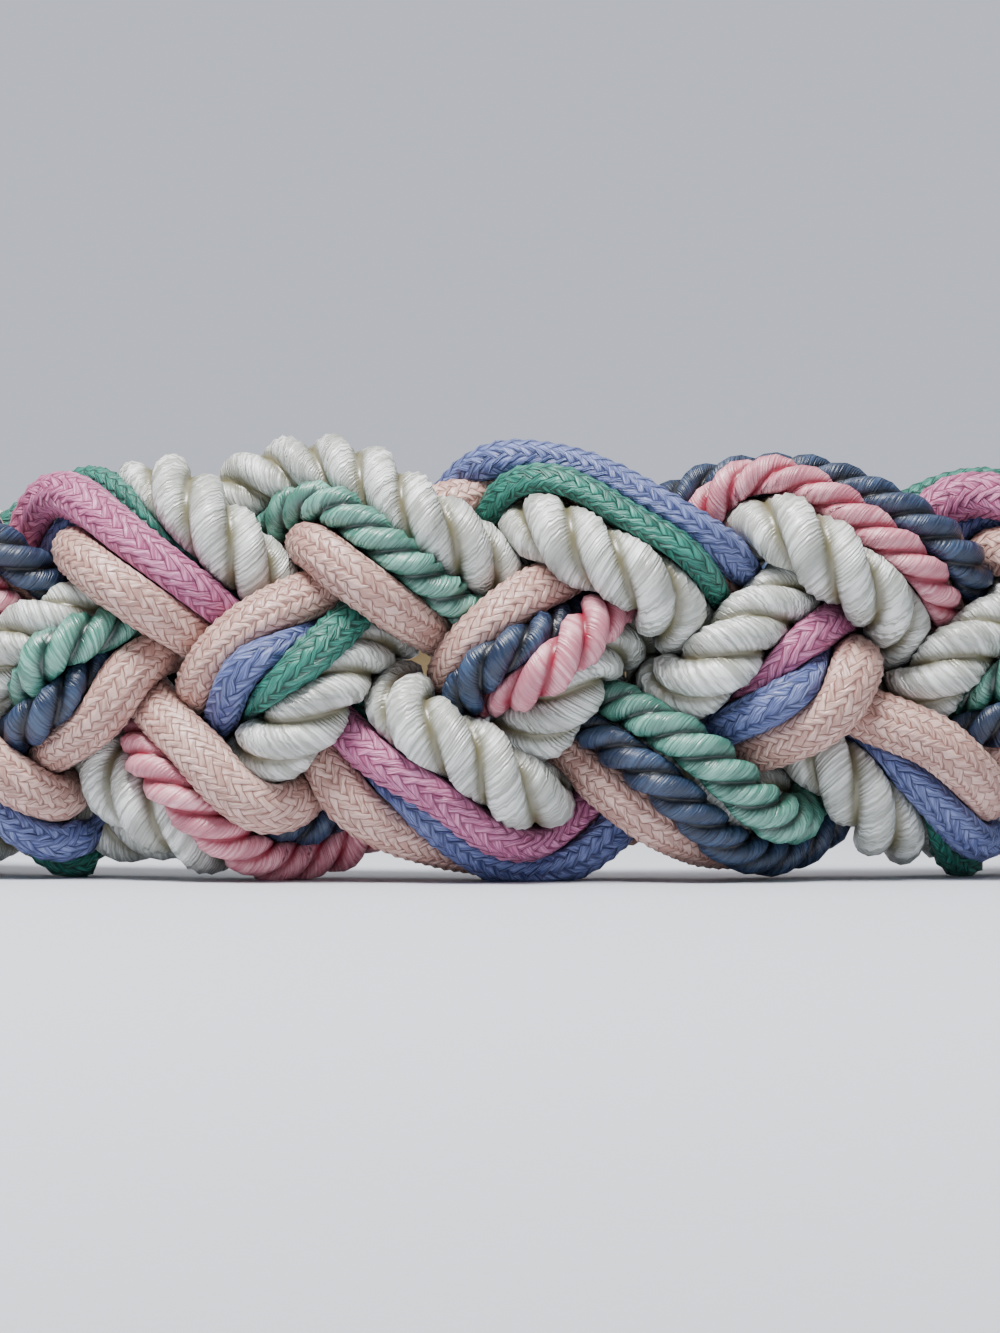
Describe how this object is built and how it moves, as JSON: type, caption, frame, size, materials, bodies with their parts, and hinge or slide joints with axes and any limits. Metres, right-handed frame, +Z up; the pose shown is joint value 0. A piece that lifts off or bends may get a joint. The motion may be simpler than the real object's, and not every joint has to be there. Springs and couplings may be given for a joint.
{
  "type": "braided rope belt",
  "caption": "Oval waist loop of pastel satin ropes and cords in a flat over-under braid, joined at the back by a plain metal sleeve clasp.",
  "frame": {"origin": "on the floor under the middle of the waist loop, level with the belt's lower edge", "axes": "+X to the right along the front of the belt, -Y out of its front, +Z up across its width"},
  "size_m": [0.2757, 0.2126, 0.051],
  "materials": {
    "strand_pink": "cotton and satin cords laid side by side",
    "strand_mint": "satin cords laid side by side",
    "strand_green": "cotton and satin cords laid side by side",
    "strand_slate": "satin cords laid side by side",
    "clasp": "satin brushed"
  },
  "bodies": {
    "root": {"strand_pink": "strand_pink", "strand_mint": "strand_mint", "strand_green": "strand_green", "strand_slate": "strand_slate", "clasp": "clasp"}
  },
  "joints": []
}
